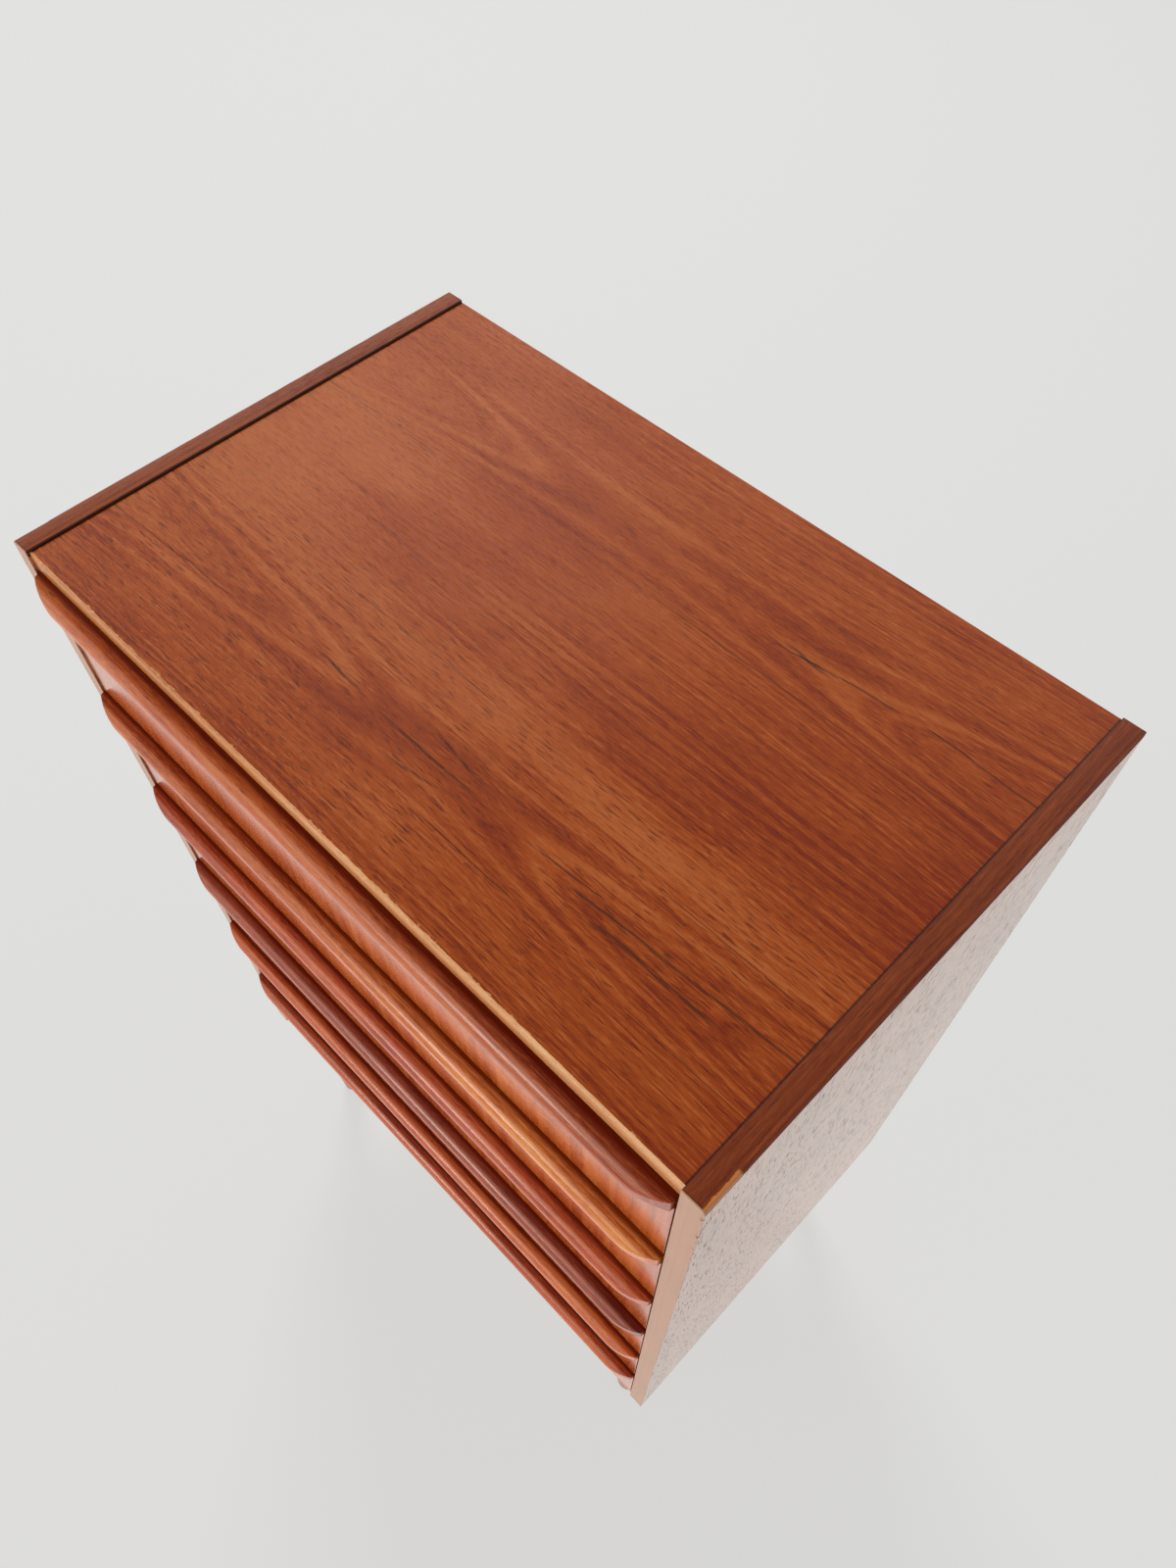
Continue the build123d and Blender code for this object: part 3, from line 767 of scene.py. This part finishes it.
driving = {"Points": screw_given["Geometry"], "Instance": whole_screw, "Rotation": aimed}
driven = screw.node("GeometryNodeInstanceOnPoints", {}, driving)
give_out(screw, driven, screw_steel.material)

back_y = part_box("back_panel")[1].y * 1000
back_middle = 614.5
back_edge = 289.0
back_rises = (-350, -175, 0, 175, 350)
back_columns = (-180.0, 0.0, 180.0)
back_ends = (239.0, 990.0)
back_places = [
    (hand * back_edge, back_y, back_middle + rise) for rise in back_rises for hand in (-1, 1)
]
back_places += [(x, back_y, z) for x in back_columns for z in back_ends]
back_sizes = {"Head Radius": 0.003, "Shank Radius": 0.0015, "Length": 0.016}
back_sizes = {**screw_sizes, **back_sizes, "Seed": 4}
back_aims = [(0, 1, 0)] * len(back_places)
back_screws = solid_of("back_screws", back_places, back_aims, screw_tree, back_sizes)
fitted("back_screws", back_screws, screw_steel, "carcass", "back_panel_screws")

# Runners: beech battens, six a side, that the grooves of the drawer sides hang on. Each is
# held to its side panel by three screws.
runner_look = {"gap": 4.0, "seed": 4.0, "pores": 0.1, "gloss": 0.5}
runner_finish = wood("beech_runner", "yzx", beech_tones, **runner_look)
runner_finish.lay_as_grown(0.02)
for hand in ("left", "right"):
    dress(f"{hand}_drawer_runners", runner_finish)
end_margin = 20.0
runner_rise = 54.0
runner_front, runner_back = (corner.y * 1000 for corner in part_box("left_drawer_runners"))
runner_middle = (runner_front + runner_back) / 2
runner_rows = (runner_front + end_margin, runner_middle, runner_back - end_margin)
runner_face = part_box("right_drawer_runners")[0].x * 1000
front_feet = [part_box(f"drawer_{number}_front")[0].z * 1000 for number in range(1, 7)]
runner_places = [
    (hand * runner_face, y, foot + runner_rise)
    for foot in front_feet
    for y in runner_rows
    for hand in (-1, 1)
]
runner_aims = [(-math.copysign(1.0, x), 0.0, 0.0) for x, y, z in runner_places]
runner_sizes = {**screw_sizes, "Seed": 7}
runner_screws = solid_of("runner_fixings", runner_places, runner_aims, screw_tree, runner_sizes)
fitted("runner_fixings", runner_screws, screw_steel, "carcass", "runner_screws")

# Drawer fronts: 18 mm boards veneered with teak, the grain upright and running on from one
# drawer to the next, dovetailed to the sides behind.
front_tones = ((0.22, 0.026, 0.003), (0.46, 0.087, 0.014), (0.58, 0.165, 0.038))
front_look = {"gap": 10.0, "seed": 12.0, "pores": 0.5, "gloss": 0.16}
front_finish = wood("teak_drawer_veneer", "zxy", front_tones, **front_look)
warm_sheen = (1.0, 0.72, 0.52)
front_finish.lay_as_grown(0.02, 0.5, warm_sheen)
for number in range(1, 7):
    drawer = f"drawer_{number}"
    front = eased(f"{drawer}_front", 0.25)
    front_name = f"{drawer}_front_board"
    fitted(front_name, front, front_finish, drawer, f"{drawer}_front")

# Pulls: one solid teak moulding along the top of each front, rounded over to a nose, hollowed
# below for the fingers, and curved back in plan at its two ends. Each was cut from other
# stock, and a tongue underneath sits in a groove in the front's top edge.
pull_sizes = {
    "Half Length": 0.2834,
    "Top": 0.9844,
    "Height": 0.024,
    "Nose": -0.194,
    "Nose Drop": 0.0113,
    "Lip Drop": 0.0138,
    "Nose Width": 0.002,
    "Round Start": -0.1825,
    "Round Middle": -0.1902,
    "Round Middle Drop": 0.0039,
    "Face": -0.1815,
    "Shoulder": -0.1635,
    "Tongue": 0.006,
    "End Run": 0.028,
    "End Reach": 0.0082,
}
pull_stations = 141
arc_points = 20
weld_distance = 0.00001
end_blend = 0.0008
pull_inputs = {"Geometry": "Geometry", **dict.fromkeys(pull_sizes, "Float")}
pull_inputs["Material"] = "Material"
pull_tree, pull, pull_given = shape_tree("shaped_pull", pull_inputs)
pull_height, pull_face = pull_given["Height"], pull_given["Face"]
pull_shoulder, tongue = pull_given["Shoulder"], pull_given["Tongue"]
nose_line, lip_drop = pull_given["Nose"], pull_given["Lip Drop"]
half_length = pull_given["Half Length"]


def section_point(y, drop):
    """A point of the pull's section, so far below the top; the sweep turns the section over"""
    return pull.vector(y * -1.0, drop - pull_given["Top"])


eighth_turn = math.sqrt(0.5)
hollow_y = nose_line + pull_given["Nose Width"]
hollow_middle_y = hollow_y + (pull_face - hollow_y) * eighth_turn
hollow_middle_drop = pull_height + (lip_drop - pull_height) * eighth_turn
nose_high = section_point(nose_line, pull_given["Nose Drop"])
nose_low = section_point(nose_line, lip_drop)
hollow_high = section_point(hollow_y, lip_drop)
hollow_middle = section_point(hollow_middle_y, hollow_middle_drop)
hollow_low = section_point(pull_face, pull_height)
round_high = section_point(pull_given["Round Start"], 0.0)
round_middle = section_point(pull_given["Round Middle"], pull_given["Round Middle Drop"])
tongue_front = (pull_face + pull_shoulder) * 0.5 - tongue * 0.5
tongue_back = tongue_front + tongue
tongue_drop = pull_height + tongue
corners = [
    hollow_low,
    section_point(tongue_front, pull_height),
    section_point(tongue_front, tongue_drop),
    section_point(tongue_back, tongue_drop),
    section_point(tongue_back, pull_height),
    section_point(pull_shoulder, pull_height),
    section_point(pull_shoulder, 0.0),
    round_high,
]
runs = [*zip(corners, corners[1:]), (nose_high, nose_low), (nose_low, hollow_high)]
arcs = ((round_high, round_middle, nose_high), (hollow_high, hollow_middle, hollow_low))
outline = []
for first, second in runs:
    line_points = {"Start": first, "End": second}
    outline.append(pull.node("GeometryNodeCurvePrimitiveLine", {}, line_points))
for first, second, third in arcs:
    bend = {"Resolution": arc_points, 1: first, 2: second, 3: third}
    outline.append(pull.node("GeometryNodeCurveArc", {"mode": "POINTS"}, bend))
section = pull.node("GeometryNodeJoinGeometry", {}, {"Geometry": outline})
section = pull.node("GeometryNodeCurveToMesh", {}, {"Curve": section})
weld = {"Geometry": section, "Distance": weld_distance}
section = pull.node("GeometryNodeMergeByDistance", {}, weld)
section = pull.node("GeometryNodeMeshToCurve", {}, {"Mesh": section})
path_ends = {"Start": (-1.0, 0.0, 0.0), "End": (1.0, 0.0, 0.0)}
path = pull.node("GeometryNodeCurvePrimitiveLine", {}, path_ends)
path = pull.node("GeometryNodeResampleCurve", {}, {"Curve": path, "Count": pull_stations})
sweep = {"Curve": path, "Profile Curve": section, "Fill Caps": True}
moulding = pull.node("GeometryNodeCurveToMesh", {}, sweep)
share, here_y, here_z = pull.parts(pull.node("GeometryNodeInputPosition", {}, {}))
here_x = (share * 1.5 - share**3.0 * 0.5) * half_length
end_run, end_reach = pull_given["End Run"], pull_given["End Reach"]
end_radius = (end_run * end_run + end_reach * end_reach) / (end_reach * 2.0)
past = abs(here_x) - half_length + end_run
past = past.sum("MAXIMUM", past, 0.0)
plan_y = nose_line + end_radius - (end_radius * end_radius - past * past) ** 0.5
plan_y = here_y.sum("SMOOTH_MAX", here_y, plan_y, end_blend)
bent = {"Geometry": moulding, "Position": pull.vector(here_x, plan_y, here_z)}
moulding = pull.node("GeometryNodeSetPosition", {}, bent)
give_out(pull, moulding, pull_given["Material"])

brown_tones = ((0.22, 0.02, 0.002), (0.47, 0.08, 0.01), (0.6, 0.16, 0.035))
orange_tones = ((0.3, 0.033, 0.002), (0.58, 0.125, 0.012), (0.76, 0.29, 0.05))
red_tones = ((0.24, 0.018, 0.003), (0.5, 0.07, 0.011), (0.62, 0.145, 0.033))
dark_tones = ((0.12, 0.009, 0.003), (0.3, 0.037, 0.011), (0.42, 0.075, 0.026))
amber_tones = ((0.24, 0.02, 0.003), (0.52, 0.08, 0.01), (0.64, 0.16, 0.03))
russet_tones = ((0.2, 0.015, 0.002), (0.46, 0.062, 0.008), (0.57, 0.13, 0.024))
pull_stock = (
    ("pull_brown", "brown_teak_pull", -0.0008, brown_tones),
    ("pull_orange", "orange_teak_pull", 0.0006, orange_tones),
    ("pull_red", "red_teak_pull", 0.0002, red_tones),
    ("pull_dark", "dark_teak_pull", -0.0004, dark_tones),
    ("pull_orange", "amber_teak_pull", 0.0002, amber_tones),
    ("pull_red", "russet_teak_pull", 0.0, russet_tones),
)


def pull_tone_and_shade(finish, slope):
    """A pull grows paler or darker towards its right end; painted shade darkens its upper side"""
    return finish.x * slope - finish.step(finish.y, -191.0, -184.0) * 0.18 + 0.02


def quirk_shade(finish, level):
    """Painted shade: the flat behind the rounding at the pull's top, made dull and dark"""
    flat = finish.step(finish.y, -186.0, -182.5) * finish.step(finish.y, -160.0, -181.0)
    return flat * finish.step(finish.z, level - 1.5, level - 0.5)


for number, (pull_slot, pull_name, slope, pull_tones) in enumerate(pull_stock, 1):
    drawer, moulded_name = f"drawer_{number}", f"drawer_{number}_moulding"
    pull_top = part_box(f"{drawer}_pull")[1].z
    pull_look = {"gap": 5.0, "seed": 20.0 + number, "pores": 0.45, "gloss": 0.24}
    pull_look["lift"] = lambda finish: pull_tone_and_shade(finish, slope)
    pull_finish = wood(pull_name, "xyz", pull_tones, **pull_look)
    pull_finish.lay_as_grown(0.012, 0.25, warm_sheen)
    # Painted shade: the flat behind each pull's rounding is laid dull and dark.
    pull_finish.pits_and_shade(quirk_shade(pull_finish, pull_top * 1000) * 0.8, (0.15, 0.008, 0.001))
    cut_sizes = dict(pull_sizes, Top=pull_top, Material=pull_finish.material)
    moulded = solid_of(moulded_name, [], [], pull_tree, cut_sizes)
    fitted(moulded_name, moulded, pull_finish, drawer, f"{drawer}_pull")

# Drawer boxes: solid hardwood sides and backs, the sides dovetailed at the front and grooved
# for the runners, and plywood bottoms slid in from the rear.
box_tones = ((0.22, 0.1, 0.04), (0.42, 0.22, 0.1), (0.54, 0.32, 0.16))
plywood_tones = ((0.4, 0.25, 0.13), (0.58, 0.4, 0.23), (0.68, 0.5, 0.32))
box_look = {"gap": 6.0, "pores": 0.3, "gloss": 0.5}
plywood_look = {"gap": 14.0, "seed": 35.0, "pores": 0.1, "gloss": 0.55}
side_wood = wood("drawer_side_hardwood", "yzx", box_tones, seed=31.0, **box_look)
back_wood = wood("drawer_back_hardwood", "xzy", box_tones, seed=33.0, **box_look)
plywood = wood("drawer_bottom_plywood", "xyz", plywood_tones, **plywood_look)
for box_finish in (side_wood, back_wood, plywood):
    box_finish.lay_as_grown(0.02)
for number in range(1, 7):
    drawer = f"drawer_{number}"
    for hand in ("left", "right"):
        box_side = eased(f"{drawer}_{hand}_side", 0.3)
        side_name = f"{drawer}_{hand}_board"
        fitted(side_name, box_side, side_wood, drawer, f"{drawer}_{hand}_side")
    box_back = eased(f"{drawer}_back", 0.3)
    fitted(f"{drawer}_back_board", box_back, back_wood, drawer, f"{drawer}_back")
    dress(f"{drawer}_bottom", plywood)

# Leg plates and studs: round steel plates, each screwed up into the bottom panel by four
# slotted screws, and the threaded steel studs that the legs turn on to.
plate_steel = Steel("plate_steel", (0.42, 0.41, 0.39), (0.26, 0.24, 0.21), 0.35)
dress("leg_plates", plate_steel)
dress("leg_studs", plate_steel)
plate_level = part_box("leg_plates")[0].z * 1000
leg_spots = [(x, y) for x in (-259.0, 259.0) for y in (-148.5, 159.5)]
screw_circle = 18.0
plate_reach = screw_circle * math.sqrt(0.5)
plate_places = [
    (x + across * plate_reach, y + along * plate_reach, plate_level)
    for x, y in leg_spots
    for across in (-1, 1)
    for along in (-1, 1)
]
plate_aims = [(0.0, 0.0, -1.0)] * len(plate_places)
plate_sizes = {**screw_sizes, "Length": 0.013, "Seed": 9}
plate_screws = solid_of("leg_plate_fixings", plate_places, plate_aims, screw_tree, plate_sizes)
fitted("leg_plate_fixings", plate_screws, screw_steel, "carcass", "leg_plate_screws")

# Legs: turned from solid teak with a straight taper, set in from the corners, each turned on
# to the stud of its plate.
leg_tones = ((0.12, 0.02, 0.006), (0.3, 0.07, 0.02), (0.42, 0.13, 0.04))
leg_finish = wood("teak_leg", "zxy", leg_tones, gap=5.0, seed=41.0, pores=0.4)
leg_finish.lay_as_grown(0.015)
for leg_name in ("front_left_leg", "front_right_leg", "rear_left_leg", "rear_right_leg"):
    dress(leg_name, leg_finish)

# Glides: flat dark plastic buttons fixed under the feet of the legs, which keep the wood off
# the floor.
glide_finish = Finish("glide_plastic")
glide_speck = (glide_finish.x / 0.8, glide_finish.y / 0.8, glide_finish.z / 0.8)
glide_grain = glide_finish.noise(*glide_speck, 2.0)
glide_colour = glide_finish.mix(glide_grain, (0.03, 0.028, 0.026), (0.07, 0.065, 0.06))
glide_finish.lay(glide_colour, 0.45 + glide_grain * 0.2, glide_grain, 0.03)
dress("leg_glides", glide_finish)
